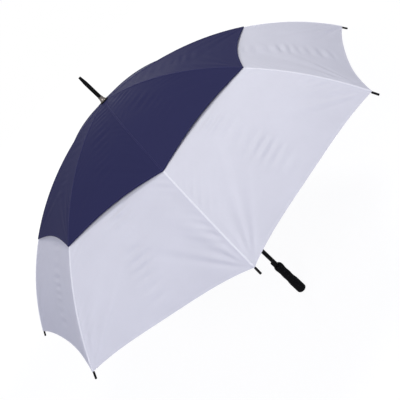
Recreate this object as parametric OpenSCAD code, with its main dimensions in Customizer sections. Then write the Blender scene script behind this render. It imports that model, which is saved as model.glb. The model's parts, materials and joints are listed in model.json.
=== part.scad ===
// Vented golf umbrella that opens at a push button, shown open and upright.
// The origin is on the shaft's axis, halfway up the straight stretch of the grip.
// Lengths are in millimetres, angles in degrees, and +Z points to the ferrule.

/* [Canopy] */
// Radius of the open canopy, from the shaft's axis to a corner of the lower cloth
open_radius = 650; // [620:5:680]
// Radius of the curve that the cloth follows along a rib
bend_radius = 840; // [810:5:880]
// Downward slope of the cloth where it leaves the ferrule
apex_slope = 2.2; // [1.6:0.1:2.8]
// Height of the canopy's apex above the origin
apex_z = 880; // [860:5:910]
// Thickness of the cloth
cloth_t = 0.8; // [0.6:0.1:1]
// Gap between the upper and the lower cloth along a rib
layer_gap = 1; // [0.8:0.1:1.4]
// Length of the upper cloth along a rib
upper_l = 458; // [430:2:480]
// Distance along a rib from the apex to the vent in the lower cloth
vent_l = 330; // [300:5:360]
// Depth of the curve cut into the upper hem between two ribs
upper_scallop = 19; // [12:1:26]
// Depth of the curve cut into the lower hem between two ribs
lower_scallop = 14; // [8:1:20]
// Inward sag of the upper cloth midway between two ribs, at its hem
upper_sag = 3; // [1:0.5:5]
// Inward sag of the lower cloth midway between two ribs, at its hem
lower_sag = 18; // [14:1:24]

/* [Ribs] */
// Number of ribs
rib_count = 8; // [6:1:8]
// Diameter of a rib
rib_d = 3.8; // [3.4:0.1:4.2]
// Gap between a rib and the cloth above it
rib_gap = 0.8; // [0.6:0.1:1.2]
// Diameter of a rib's tip
tip_d = 5.4; // [5:0.1:6]
// Length of a rib's tip beyond the cloth
tip_l = 18; // [14:1:24]
// Angle through which a rib swings down when the umbrella closes
close_angle = 60; // [57:1:61]

/* [Stretchers and links] */
// Distance along a rib from its pivot in the crown to the stretcher's pivot
joint_l = 300; // [285:5:315]
// Length of a stretcher between its pivots
stretcher_l = 402; // [390:1:420]
// Width of a stretcher's channel
bar_w = 4; // [3.8:0.1:4.4]
// Height of a stretcher's channel
bar_h = 4.6; // [4.2:0.1:5.4]
// Wall of a stretcher's channel
bar_wall = 0.7; // [0.5:0.1:0.8]
// Distance along a stretcher from the runner to the link's pivot
link_at = 200; // [185:5:210]
// Height of a link's outer pivot above its inner one when the umbrella is open
link_rise = 56.3; // [50:0.1:64]
// Thickness of a link and of a stretcher's flat ends
tab_t = 2.2; // [1.8:0.1:2.4]
// Distance of a hanging pivot from the rib or stretcher that carries it
pivot_drop = 6; // [5.6:0.2:7]
// Diameter of a hinge pin
pin_d = 2; // [1.6:0.1:2.4]
// Radius of the round end about a hinge pin
eye_r = 2.5; // [2.2:0.1:2.7]

/* [Crown, slider and runner] */
// Radius at which ribs, links and stretchers are hinged
hub_pivot_r = 12.5; // [12.2:0.1:13.4]
// Outer radius of the slotted heads
hub_r = 16; // [15.6:0.2:17]
// Half the height of the slotted heads of the slider and the runner
head_h = 6; // [5:0.5:7]
// Diameter of the wire pins that the ribs turn on
wire_d = 1.6; // [1.4:0.1:1.8]
// Length of the runner below its pivots
runner_l = 54; // [46:2:60]
// Radius of the pull ring at the runner's lower end
pull_r = 12; // [11:0.5:14]
// Diameter of the spring's wire
spring_wire = 1.4; // [1.2:0.1:1.5]
// Number of turns in the spring
spring_turns = 14; // [10:1:18]

/* [Shaft and grip] */
// Outer diameter of the shaft
shaft_d = 14; // [13.6:0.1:14.2]
// Wall of the shaft
shaft_wall = 0.8; // [0.6:0.1:1.2]
// Radius of the grip's straight stretch
grip_r = 16.5; // [15:0.25:18]
// Length of the grip's straight stretch
hold_l = 40; // [30:2:50]
// Height of the grip's top above the origin
grip_top = 111; // [104:1:118]
// Height of the round shoulder at the grip's top
shoulder_h = 13; // [10:1:16]
// Depth of the finger hollows in the grip
hollow_d = 1.4; // [0.5:0.1:2]
// Depth of the grip's waist, which both hollows lie in
waist_d = 1; // [0:0.1:1.5]
// Loss of radius from the straight stretch to the shoulder
grip_taper = 0.5; // [0:0.1:1.5]
// Height of the domed cap at the grip's lower end
cap_h = 10; // [7:0.5:14]
// Length of the push button along the shaft
button_l = 19; // [16:0.5:22]
// Width of the push button
button_w = 4.4; // [3.6:0.1:4.8]
// Distance that the push button stands out of the shaft
button_out = 5; // [4.4:0.1:6]

/* [Ferrule] */
// Height of the ferrule's end above the apex
ferrule_l = 94; // [80:1:105]
// Diameter of the ferrule's straight stretch
ferrule_d = 12; // [10.4:0.1:12.2]
// Diameter of the ferrule at its end
ferrule_tip_d = 8; // [7:0.1:10]
// Length of the cone at the ferrule's end
ferrule_cone_l = 24; // [16:1:40]
// Diameter of the flared base
flare_d = 20; // [17:0.5:24]
// Height of the flared base
flare_h = 14; // [11:0.5:20]
// Diameter of the washer under the flared base
washer_d = 26; // [24:0.5:28]
// Thickness of the washer
washer_t = 2.8; // [2:0.1:3.6]

/* [Hidden] */
$fn = 48;
// Clearance between pieces that are fixed to each other
fit = 0.1;
// Clearance between pieces that move past each other
play = 0.4;
// Spare length of a cutter beyond what it cuts
over = 1;
half_gore = 180 / rib_count;
apex_sin = sin(apex_slope);
apex_cos = cos(apex_slope);
shaft_r = shaft_d / 2;
shaft_bore = shaft_r - shaft_wall;
rib_r = rib_d / 2;
pin_r = pin_d / 2;
wire_r = wire_d / 2;

// Azimuth of a rib, so that the first one points along -Y
function azimuth(i) = 2 * half_gore * i - 90;
// Angle on the rib's curve at a length along it, at a radius of curvature
function arc_angle(l, radius) = l / radius * 180 / PI;
// Angle on the rib's curve where the outer cloth reaches a distance from the axis
function angle_at(r) = asin(r / bend_radius + apex_sin);
// Point [r, z] at an angle on the rib's curve, at a depth under the outer cloth
function curve_point(a, depth) = [
  (bend_radius - depth) * sin(a) - bend_radius * apex_sin,
  apex_z + (bend_radius - depth) * cos(a) - bend_radius * apex_cos
];
// Point turned about the tangent axis, where a positive angle turns outward to downward
function swing(p, a) = [p[0] * cos(a) + p[1] * sin(a), p[1] * cos(a) - p[0] * sin(a)];
// Angle of a direction [r, z], counted from outward to downward
function heading(v) = atan2(-v[1], v[0]);
// Height of a hub pivot from which a bar of a length reaches up to a point
function hub_below(p, l) = p[1] - sqrt(l * l - pow(p[0] - hub_pivot_r, 2));

// Curve of the ribs, and the places along it
rib_depth = 2 * cloth_t + layer_gap + rib_gap + rib_r;
rib_bend = bend_radius - rib_depth;
tip_angle = angle_at(open_radius);
upper_angle = apex_slope + arc_angle(upper_l, bend_radius);
vent_angle = apex_slope + arc_angle(vent_l, bend_radius);
crown_angle = asin((hub_pivot_r + bend_radius * apex_sin) / rib_bend);
joint_angle = crown_angle + arc_angle(joint_l, rib_bend);
tip_sleeve = 11;
rib_ear_t = 1.4;
bar_ear_t = 1.2;
rib_end = tip_angle + arc_angle(tip_sleeve, rib_bend);

// Pivots [r, z] of one rib's linkage, open and closed
crown_pivot = curve_point(crown_angle, rib_depth);
joint_open = curve_point(joint_angle, rib_depth + pivot_drop);
joint_closed = crown_pivot + swing(joint_open - crown_pivot, close_angle);
runner_open = [hub_pivot_r, hub_below(joint_open, stretcher_l)];
runner_closed = [hub_pivot_r, hub_below(joint_closed, stretcher_l)];
bar_open = heading(joint_open - runner_open);
bar_closed = heading(joint_closed - runner_closed);
link_joint = [link_at, pivot_drop];
link_open = runner_open + swing(link_joint, bar_open);
link_closed = runner_closed + swing(link_joint, bar_closed);
link_l = norm([link_open[0] - hub_pivot_r, link_rise]);
slider_open = [hub_pivot_r, link_open[1] - link_rise];
slider_closed = [hub_pivot_r, hub_below(link_closed, link_l)];
lean_open = heading(link_open - slider_open);
lean_closed = heading(link_closed - slider_closed);

// Motion from open to closed
runner_travel = runner_open[1] - runner_closed[1];
slider_travel = slider_open[1] - slider_closed[1];
stretcher_turn = bar_closed - bar_open - close_angle;
link_turn = lean_closed - lean_open - (bar_closed - bar_open);
echo(crown_pivot = crown_pivot, joint = joint_open, link = link_open, runner_z = runner_open[1]);
echo(slider_z = slider_open[1], runner_travel = runner_travel, slider_travel = slider_travel);
echo(stretcher_turn = stretcher_turn, link_turn = link_turn, button_travel = button_out - over);

// Heads that hold the hinged ends
slot_floor = hub_pivot_r - eye_r - play;
crown_top = apex_z - cloth_t - hub_r * sin(angle_at(hub_r)) - play;
crown_head_h = 9;
crown_slot = rib_d + 2 * play;
pin_seat = 1.8;
crown_pin_l = crown_slot + 2 * pin_seat;
collar_h = 10;
collar_r = 10.5;
crown_low = crown_pivot[1] - crown_head_h / 2;
collar_low = crown_low - collar_h;
stop_z = slider_open[1] + head_h + play + pin_r;

// Grip and button heights
cap_top = -hold_l / 2;
shaft_low = cap_top + 9;
plug_h = 8;
shaft_high = apex_z + washer_t;
neck_r = shaft_r + 1.5;
slot_gap = 0.3;
button_low = grip_top + over;
flange_out = 1.5;
hollow_count = 2;

// Draws a piece of one rib's plane, where X is outward, at that rib's azimuth
module at_rib(i) {
  rotate(azimuth(i)) children();
}

// Rod across the rib's plane, centred on a point [r, z]
module cross_pin(p, r, w) {
  translate([p[0], 0, p[1]]) rotate([90, 0, 0]) cylinder(r = r, h = w, center = true);
}

// Two equal ears beside the rib's plane, with a round end about a pin that hangs below
module ears(gap, wall, drop, length) {
  for (side = [-1, 1]) {
    translate([0, side * (gap + wall) / 2, 0]) {
      translate([-length / 2, -wall / 2, -drop]) cube([length, wall, drop]);
      cross_pin([0, -drop], length / 2, wall);
    }
  }
  cross_pin([0, -drop], pin_r, gap + 2 * wall + play);
}

// Straight pins, one across each rib's plane
module hinge_pins(p, r, w) {
  for (i = [0:rib_count - 1]) {
    at_rib(i) cross_pin(p, r, w);
  }
}

// Radial slots, one in each rib's plane
module slots(low, high, floor_r, w) {
  for (i = [0:rib_count - 1]) {
    at_rib(i) translate([floor_r, -w / 2, low - over]) cube([hub_r, w, high - low + 2 * over]);
  }
}

// Black steel tube from the grip to the ferrule, with holes for the pins and the button
module shaft() {
  color("black") difference() {
    translate([0, 0, shaft_low]) cylinder(r = shaft_r, h = shaft_high - shaft_low);
    translate([0, 0, shaft_low - over]) cylinder(r = shaft_bore, h = shaft_high - shaft_low + 2 * over);
    cross_bore(collar_low + collar_h / 2);
    cross_bore(stop_z);
    translate([-shaft_d, -button_w / 2 - slot_gap, button_low - slot_gap])
      cube([shaft_d, button_w + 2 * slot_gap, button_l + 2 * slot_gap]);
  }
}

// Hole through the shaft for a cross pin, midway between two ribs
module cross_bore(z) {
  rotate(azimuth(0) + half_gore) translate([0, 0, z]) rotate([0, 90, 0])
    cylinder(r = pin_r + fit, h = 2 * (collar_r + over), center = true);
}

// Pin through the shaft, midway between two ribs
module shaft_pin(z, l) {
  rotate(azimuth(0) + half_gore) translate([0, 0, z]) rotate([0, 90, 0])
    cylinder(r = pin_r, h = l, center = true);
}

// Spike above the canopy, with a tapered end, and a spigot inside the shaft
module ferrule() {
  end_r = ferrule_tip_d / 2;
  round_r = 1.5;
  spigot_h = 16;
  end_z = apex_z + ferrule_l;
  spigot_r = shaft_bore - fit;
  color("black") rotate_extrude() polygon(concat(
    [[0, shaft_high - spigot_h], [spigot_r, shaft_high - spigot_h], [spigot_r, shaft_high]],
    [[ferrule_d / 2, shaft_high + fit], [ferrule_d / 2, end_z - ferrule_cone_l]],
    [for (a = [0:15:90]) [end_r - round_r + round_r * cos(a), end_z - round_r + round_r * sin(a)]],
    [[0, end_z]]
  ));
}

// Trumpet shaped metal base of the ferrule
module ferrule_flare() {
  steps = 12;
  lip = 0.8;
  sweep_power = 2.4;
  low = apex_z + washer_t;
  bore = ferrule_d / 2 + fit;
  top_r = bore + lip;
  base_r = flare_d / 2;
  color("silver") rotate_extrude() polygon(concat(
    [[bore, low + fit], [base_r, low + fit]],
    [for (k = [0:steps]) [
      top_r + (base_r - top_r) * pow(1 - k / steps, sweep_power),
      low + lip + (flare_h - lip) * k / steps
    ]],
    [[bore, low + flare_h]]
  ));
}

// Black washer that presses the cloth onto the crown, with a round upper edge
module washer() {
  edge = 1.2;
  r = washer_d / 2;
  bore = shaft_r + fit;
  color("black") translate([0, 0, apex_z]) rotate_extrude() polygon(concat(
    [[bore, 0], [r, 0]],
    [for (a = [0:15:90]) [r - edge + edge * cos(a), washer_t - edge + edge * sin(a)]],
    [[bore, washer_t]]
  ));
}

// Slotted head under the apex, with a collar that is riveted to the shaft
module crown() {
  color("black") difference() {
    union() {
      translate([0, 0, crown_low]) cylinder(r = hub_r, h = crown_top - crown_low);
      translate([0, 0, collar_low]) cylinder(r = collar_r, h = collar_h + over);
    }
    translate([0, 0, collar_low - over]) cylinder(r = shaft_r + fit, h = crown_top - collar_low + 2 * over);
    slots(crown_low, crown_top, slot_floor, crown_slot);
    hinge_pins(crown_pivot, wire_r + fit, crown_pin_l + fit);
    cross_bore(collar_low + collar_h / 2);
  }
}

// Wire pins in the crown that the ribs turn on
module crown_pins() {
  color("silver") hinge_pins(crown_pivot, wire_r, crown_pin_l);
}

// Rivet that holds the crown on the shaft
module crown_rivet() {
  color("silver") shaft_pin(collar_low + collar_h / 2, 2 * collar_r);
}

// Pin that stops the slider when the umbrella is open
module stop_pin() {
  color("silver") shaft_pin(stop_z, 2 * slot_floor);
}

// Radius of the grip at a share of the way from the straight stretch to the shoulder
function grip_radius(share) =
  grip_r - grip_taper * share
  - hollow_d * (1 - cos(360 * hollow_count * share)) / 2
  - waist_d * (1 - cos(360 * share)) / 2;

// Soft black grip with finger hollows in its waist and a round shoulder
module grip() {
  low = hold_l / 2;
  high = grip_top - shoulder_h;
  steps = 24;
  top_r = grip_radius(1);
  color("#1a1a1a") rotate_extrude() polygon(concat(
    [[shaft_r + fit, cap_top], [grip_r, cap_top]],
    [for (k = [0:steps]) [grip_radius(k / steps), low + (high - low) * k / steps]],
    [for (a = [10:10:90]) [neck_r + (top_r - neck_r) * cos(a), high + shoulder_h * sin(a)]],
    [[shaft_r + fit, grip_top]]
  ));
}

// Domed cap at the grip's lower end, with a plug in the grip's bore
module grip_cap() {
  color("black") rotate_extrude() polygon(concat(
    [for (a = [-90:10:0]) [grip_r * cos(a), cap_top + cap_h * sin(a)]],
    [[shaft_r, cap_top], [shaft_r, cap_top + plug_h], [0, cap_top + plug_h]]
  ));
}

// Push button that stands out of the shaft just above the grip
module button() {
  out = shaft_r + button_out;
  flange_x = sqrt(pow(shaft_bore, 2) - pow(button_w / 2, 2)) - slot_gap;
  straight = 0.6;
  high_r = button_out - straight;
  low_r = 2;
  color("black") rotate([90, 0, 0]) linear_extrude(button_w, center = true) {
    translate([-flange_x, button_low - flange_out]) square([flange_out, button_l + 2 * flange_out]);
    translate([-out + high_r, button_low]) square([out - high_r - flange_x + flange_out, button_l]);
    translate([-out, button_low + low_r]) square([high_r, button_l - low_r - high_r]);
    translate([-out + high_r, button_low + button_l - high_r]) circle(high_r);
    translate([-out + low_r, button_low]) square([high_r - low_r, low_r]);
    translate([-out + low_r, button_low + low_r]) circle(low_r);
  }
}

// Sliding sleeve that carries the stretchers, with a pull ring at its lower end
module runner() {
  z = runner_open[1];
  ring_h = 9;
  ring_round = 2;
  neck = slot_floor + play;
  bore = shaft_r + play;
  color("black") difference() {
    rotate_extrude() polygon([
      [bore, z - runner_l], [pull_r - ring_round, z - runner_l], [pull_r, z - runner_l + ring_round],
      [pull_r, z - runner_l + ring_h - ring_round], [neck, z - runner_l + ring_h + ring_round],
      [neck, z - head_h - ring_round], [hub_r, z - head_h], [hub_r, z + head_h], [bore, z + head_h]
    ]);
    slots(z - head_h - 2 * ring_round, z + head_h, slot_floor, bar_w + 2 * play);
  }
}

// Upper sleeve that the links pull, with the spring below it
module slider() {
  z = slider_open[1];
  color("black") difference() {
    translate([0, 0, z - head_h]) cylinder(r = hub_r - over, h = 2 * head_h);
    translate([0, 0, z - head_h - over]) cylinder(r = shaft_r + play, h = 2 * (head_h + over));
    slots(z - head_h, z + head_h, slot_floor, tab_t + 2 * play);
  }
}

// Spring between the runner and the slider
spring_sides = 6;
spring_rings = 8;
spring_r = (shaft_r + play + slot_floor) / 2;
spring_low = runner_open[1] + head_h + slot_gap;
spring_high = slider_open[1] - head_h - slot_gap;
spring_pitch = (spring_high - spring_low - 2 * spring_wire) / spring_turns;
spring_steps = spring_turns * spring_rings;
// Centre line of the spring, with a straight end of one wire diameter at each seat
spring_path = concat(
  [[spring_r, 0, spring_low]],
  [for (k = [0:spring_steps]) [
    spring_r * cos(360 * k / spring_rings),
    spring_r * sin(360 * k / spring_rings),
    spring_low + spring_wire + spring_pitch * k / spring_rings
  ]],
  [[spring_r, 0, spring_high]]
);
// Least distance between the surfaces of two turns, measured on the centre line
spring_gap = min([
  for (k = [1:spring_steps - spring_rings])
    norm(spring_path[k + spring_rings] - spring_path[k]) - spring_wire
]);
echo(spring_gap = spring_gap);

module spring() {
  count = len(spring_path);
  last = count - 1;
  ring = [for (s = [0:spring_sides - 1]) 360 * s / spring_sides];
  points = [
    for (k = [0:last]) let(
      p = spring_path[k],
      turn = atan2(p[1], p[0]),
      slope = (k == 0 || k == last) ? 90 : (k == 1 || k == last - 1) ? 45 : 0
    ) for (a = ring) let(
      radial = spring_wire / 2 * cos(a),
      up = spring_wire / 2 * sin(a)
    ) [
      p[0] + radial * cos(turn) + up * sin(turn) * sin(slope),
      p[1] + radial * sin(turn) - up * cos(turn) * sin(slope),
      p[2] + up * cos(slope)
    ]
  ];
  sides = [
    for (k = [0:last - 1], s = [0:spring_sides - 1]) let(
      a = k * spring_sides + s,
      b = k * spring_sides + (s + 1) % spring_sides,
      c = a + spring_sides,
      d = b + spring_sides
    ) each [[a, b, d], [a, d, c]]
  ];
  caps = [
    for (s = [1:spring_sides - 2]) each [
      [0, s + 1, s],
      [last * spring_sides, last * spring_sides + s, last * spring_sides + s + 1]
    ]
  ];
  color("silver") polyhedron(points, concat(sides, caps));
}

// Curved black rod with an eye in the crown, ears for the stretcher, and a tip on its end
module rib(i) {
  joint = curve_point(joint_angle, rib_depth);
  corner = curve_point(tip_angle, rib_depth);
  color("#202020") at_rib(i) {
    difference() {
      union() {
        translate([-bend_radius * apex_sin, 0, apex_z - bend_radius * apex_cos])
          rotate([90, 0, 0]) rotate(90 - rib_end)
            rotate_extrude(angle = rib_end - crown_angle, $fn = 96) translate([rib_bend, 0]) circle(rib_r);
        cross_pin(crown_pivot, eye_r, rib_d - play);
      }
      cross_pin(crown_pivot, wire_r + fit, rib_d + 2 * over);
    }
    translate([joint[0], 0, joint[1]]) rotate([0, joint_angle, 0])
      ears(tab_t + 2 * play, rib_ear_t, pivot_drop, 2 * eye_r);
    translate([corner[0], 0, corner[1]]) rotate([0, 90 + tip_angle, 0]) tip();
  }
}

// Plastic tip that is pushed over the end of a rib, drawn along +Z from the cloth's corner
module tip() {
  r = tip_d / 2;
  bore = rib_r + 2 * fit;
  floor_z = tip_sleeve + over;
  round_r = 1.2;
  rotate_extrude() polygon(concat(
    [[0, floor_z], [bore, floor_z], [bore, slot_gap], [r, slot_gap]],
    [for (a = [0:15:90]) [r - round_r + round_r * cos(a), tip_l - round_r + round_r * sin(a)]],
    [[0, tip_l]]
  ));
}

// Steel channel from the runner to a rib, with flat ends and ears for the link
module stretcher(i) {
  tab_l = 14;
  bar_start = 9;
  color("#303030") at_rib(i) translate([hub_pivot_r, 0, runner_open[1]]) rotate([0, bar_open, 0]) {
    difference() {
      union() {
        difference() {
          translate([bar_start, -bar_w / 2, -bar_h / 2]) cube([stretcher_l - 2 * bar_start, bar_w, bar_h]);
          translate([bar_start - over, bar_wall - bar_w / 2, -bar_h / 2 - over])
            cube([stretcher_l - 2 * bar_start + 2 * over, bar_w - 2 * bar_wall, bar_h - bar_wall + over]);
        }
        for (x = [0, stretcher_l - tab_l]) {
          translate([x, -tab_t / 2, -eye_r + play / 2]) cube([tab_l, tab_t, 2 * eye_r - play]);
        }
        for (x = [0, stretcher_l]) {
          cross_pin([x, 0], eye_r, tab_t);
        }
      }
      for (x = [0, stretcher_l]) {
        cross_pin([x, 0], pin_r + fit, tab_t + 2 * over);
      }
    }
    translate([link_at, 0, 0]) mirror([0, 0, 1]) ears(tab_t + 2 * play, bar_ear_t, pivot_drop, 2 * eye_r);
  }
}

// Flat bar from a stretcher to the slider
module link(i) {
  color("#303030") at_rib(i) translate([hub_pivot_r, 0, slider_open[1]]) rotate([0, lean_open, 0])
    difference() {
      union() {
        translate([0, -tab_t / 2, -eye_r + play / 2]) cube([link_l, tab_t, 2 * eye_r - play]);
        for (x = [0, link_l]) {
          cross_pin([x, 0], eye_r, tab_t);
        }
      }
      for (x = [0, link_l]) {
        cross_pin([x, 0], pin_r + fit, tab_t + 2 * over);
      }
    }
}

// Cloth of the half gores on both sides of one rib
cloth_steps = 10;
cloth_half = 4;
cloth_gap = 0.6;
sag_power = 1.5;
// Shape of the two hems, flatter in the middle with a higher power
lower_hem_power = 4;
upper_hem_power = 2;

// Point of a cloth at an angle on the rib's curve and an azimuth from the rib
function cloth_point(a, turn, depth, sag, hem_angle) = let(
  p = curve_point(a, depth),
  hem_r = curve_point(hem_angle, depth)[0],
  from_mid = half_gore - abs(turn),
  inward = sag * pow(p[0] / hem_r, sag_power) * (1 - pow(from_mid / half_gore, 2)),
  r = p[0] * cos(half_gore) / cos(from_mid) - inward * sin(a)
) [r * cos(turn), r * sin(turn), p[1] - inward * cos(a)];

// One sheet of points of a cloth, from its inner edge to its scalloped hem
function cloth_sheet(from, hem_angle, depth, sag, scallop, power) = [
  for (k = [0:cloth_steps], j = [-cloth_half:cloth_half]) let(
    share = j / cloth_half,
    cut = arc_angle(scallop, bend_radius) * (1 - pow(1 - abs(share), power)),
    a = from + (hem_angle - cut - from) * k / cloth_steps,
    edge = half_gore - asin(cloth_gap / 2 / curve_point(a, depth)[0])
  ) cloth_point(a, share * edge, depth, sag, hem_angle)
];

// Closed thin solid between two sheets of points
module cloth(from, hem_angle, depth, sag, scallop, power) {
  wide = 2 * cloth_half + 1;
  outer = cloth_sheet(from, hem_angle, depth, sag, scallop, power);
  inner = cloth_sheet(from, hem_angle, depth + cloth_t, sag, scallop, power);
  low = len(outer);
  top_faces = [
    for (k = [0:cloth_steps - 1], j = [0:wide - 2]) let(a = k * wide + j)
      each [[a, a + 1, a + wide + 1], [a, a + wide + 1, a + wide]]
  ];
  low_faces = [for (f = top_faces) [f[0] + low, f[2] + low, f[1] + low]];
  last = cloth_steps * wide;
  rim = concat(
    [for (j = [0:wide - 2]) [j + 1, j]],
    [for (k = [0:cloth_steps - 1]) [k * wide, (k + 1) * wide]],
    [for (j = [0:wide - 2]) [last + j, last + j + 1]],
    [for (k = [0:cloth_steps - 1]) [(k + 2) * wide - 1, (k + 1) * wide - 1]]
  );
  rim_faces = [for (e = rim) each [[e[0], e[1], e[1] + low], [e[0], e[1] + low, e[0] + low]]];
  polyhedron(concat(outer, inner), concat(top_faces, low_faces, rim_faces));
}

// White cloth of the lower canopy, from the vent to the rib's tip
module lower_canopy(i) {
  color("whitesmoke") at_rib(i)
    cloth(vent_angle, tip_angle, cloth_t + layer_gap, lower_sag, lower_scallop, lower_hem_power);
}

// Navy cloth of the upper canopy, from the washer to the hem above the vent
module upper_canopy(i) {
  from = angle_at((shaft_r + slot_gap) / cos(half_gore));
  color("midnightblue") at_rib(i)
    cloth(from, upper_angle, 0, upper_sag, upper_scallop, upper_hem_power);
}

shaft();
ferrule();
ferrule_flare();
washer();
crown();
crown_pins();
crown_rivet();
stop_pin();
grip();
grip_cap();
button();
runner();
slider();
spring();
for (i = [0:rib_count - 1]) {
  rib(i);
  stretcher(i);
  link(i);
  lower_canopy(i);
  upper_canopy(i);
}
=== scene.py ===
"""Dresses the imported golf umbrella: sewn cloth, stitching, spring, finishes and stage."""

import json
import math

import bpy
import numpy as np
from mathutils import Matrix, Vector

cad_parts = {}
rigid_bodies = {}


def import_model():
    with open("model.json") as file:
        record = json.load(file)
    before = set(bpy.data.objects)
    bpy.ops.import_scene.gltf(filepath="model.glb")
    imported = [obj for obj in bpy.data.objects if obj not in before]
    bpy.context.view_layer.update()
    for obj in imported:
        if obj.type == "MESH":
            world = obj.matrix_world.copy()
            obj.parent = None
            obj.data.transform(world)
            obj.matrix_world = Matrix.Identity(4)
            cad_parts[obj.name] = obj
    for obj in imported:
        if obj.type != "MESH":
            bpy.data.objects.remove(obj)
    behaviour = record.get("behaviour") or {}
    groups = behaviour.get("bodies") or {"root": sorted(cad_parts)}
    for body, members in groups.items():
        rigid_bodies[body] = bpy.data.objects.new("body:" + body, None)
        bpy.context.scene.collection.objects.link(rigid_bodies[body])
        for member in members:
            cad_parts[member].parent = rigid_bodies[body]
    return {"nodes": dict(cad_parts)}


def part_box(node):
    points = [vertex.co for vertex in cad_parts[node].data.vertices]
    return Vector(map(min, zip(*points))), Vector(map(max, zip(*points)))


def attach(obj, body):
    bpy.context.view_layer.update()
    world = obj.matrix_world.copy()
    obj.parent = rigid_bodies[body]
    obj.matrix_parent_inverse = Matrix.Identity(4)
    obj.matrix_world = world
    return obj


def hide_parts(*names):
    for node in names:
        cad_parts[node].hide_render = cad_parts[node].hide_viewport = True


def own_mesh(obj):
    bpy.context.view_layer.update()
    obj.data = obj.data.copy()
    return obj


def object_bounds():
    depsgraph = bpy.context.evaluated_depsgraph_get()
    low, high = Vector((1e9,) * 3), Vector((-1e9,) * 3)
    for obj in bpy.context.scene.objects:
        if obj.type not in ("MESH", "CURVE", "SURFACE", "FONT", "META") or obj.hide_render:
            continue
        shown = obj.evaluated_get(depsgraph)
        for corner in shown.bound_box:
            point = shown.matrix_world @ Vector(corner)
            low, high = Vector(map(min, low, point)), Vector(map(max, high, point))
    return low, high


bl_info = {
    "name": "Golf umbrella",
    "version": (1, 0, 0),
    "blender": (4, 5, 0),
    "location": "View3D > Sidebar > Umbrella",
    "description": "Sews the canopy onto the umbrella's frame and gives each piece its finish",
    "category": "Object",
}

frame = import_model()
CAD_BOX = [list(corner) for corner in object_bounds()]
RIBS = 8
HALF_GORE = math.pi / RIBS

# Cuts across a gore, as lengths along its rib, and for each band the sizes of its fold as the
# umbrella closes, which fold_away works out but does not apply: the length at which its fold is
# hung, the inward tilt, the share kept and the room left for the rib.
TOP_CUT, VENT_CUT, SKIRT_CUT = 0.16, 0.43, 0.59
TOP_FOLD = (0.084, -0.5, 0.62, 0.0)
MAIN_FOLD = (0.309, 0.0, 0.47, 0.0)
WAIST_FOLD = (0.51, 0.2, 0.29, 0.003)
SKIRT_FOLD = (0.677, 0.29, 0.2, 0.003)

# Heights of the wrinkles, in millimetres, and their reaches and pitches, in metres.
FULL_TURN = 2 * math.pi
ANY_PHASE = (0, 6.28)
RIPPLE_HEIGHT, RIPPLE_REACH = 2.2, 0.032
RIPPLE_SWELL_PITCH, RIPPLE_WANDER_PITCH = 0.13, 0.17
PULL_HEIGHT, PULL_START, PULL_NARROWEST = 2.5, 0.05, 0.005
PUCKER_HEIGHT, PUCKER_REACH, PUCKER_LEAN, PUCKER_SWELL_PITCH = 1.3, 0.022, 1.1, 0.19
RIB_CLEAR, RIB_CLEAR_RAMP = 0.003, 0.01
MILLIMETRE = 0.001

# The cloth's mesh: distance from row to row, how much denser the columns are at the rib,
# and the rows across the hem, in hem widths.
ROW_PITCH = 0.0048
COLUMN_CROWDING = 1.35
HEM_ROWS = 1.72 * np.array([0.9, 0.62, 0.56, 0.5, 0.4, 0.28, 0.16, 0.07, 0.02, 0.0])[:, None]
NORMAL_STEP, SMOOTH_STEP = 1.5e-3, 1e-3

# The folded hem: what it adds to the cloth on each side, the length of its step and the
# rounding of its edge.
HEM_EXTRA, HEM_STEP, HEM_ROUND = 0.00025, 0.0008, 0.0006

# The felled seam's section: places across it, in seam widths, and heights over the cloth.
SEAM_ACROSS = np.array([-0.5, -0.47, -0.3, -0.06, 0.06, 0.3, 0.47, 0.5])
SEAM_LIFT = np.array([0.00022, 0.0006, 0.00075, 0.00085, 0.00085, 0.00075, 0.0006, 0.00022])
SEAM_UNDER = 0.00005
SEAM_ROWS, SEAM_PUCKER_PITCH = 110, 0.011
SEAM_START, SEAM_END_GAP = 0.0155, 0.0005

# Stitches: places across the hem and the seam, in their widths, and heights over the cloth.
HEM_STITCH_PLACE, HEM_STITCH_LIFT = 0.78, 0.00035
SEAM_STITCH_PLACE, SEAM_STITCH_LIFT, SEAM_STITCH_GAP = 0.32, 0.00082, 0.004

# Stage: the floor's half side and its gap under the object; the strength of its glow, which
# shows as white together with the lit part of the floor; the glow's share near the object,
# which leaves a soft shadow there, and the distances between which that share rises to 1;
# and the lamps, with their places, widths and colours.
FLOOR_HALF, FLOOR_GAP, FLOOR_GLOW = 14.0, 0.0005, 1.06
GLOW_SHARE_NEAR, NEAR, FAR = 0.88, 1.6, 3.5
AIM = Vector((0, 0, 0.6))
LAMPS = (
    ("key", (-0.8, -3.02, 2.4), 1.0, (1.0, 0.99, 0.965)),
    ("top", (1.2, -0.7, 2.9), 0.8, (1.0, 0.985, 0.9)),
    ("back", (0.5, 3.2, 2.0), 1.4, (1.0, 1.0, 1.0)),
)


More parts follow.
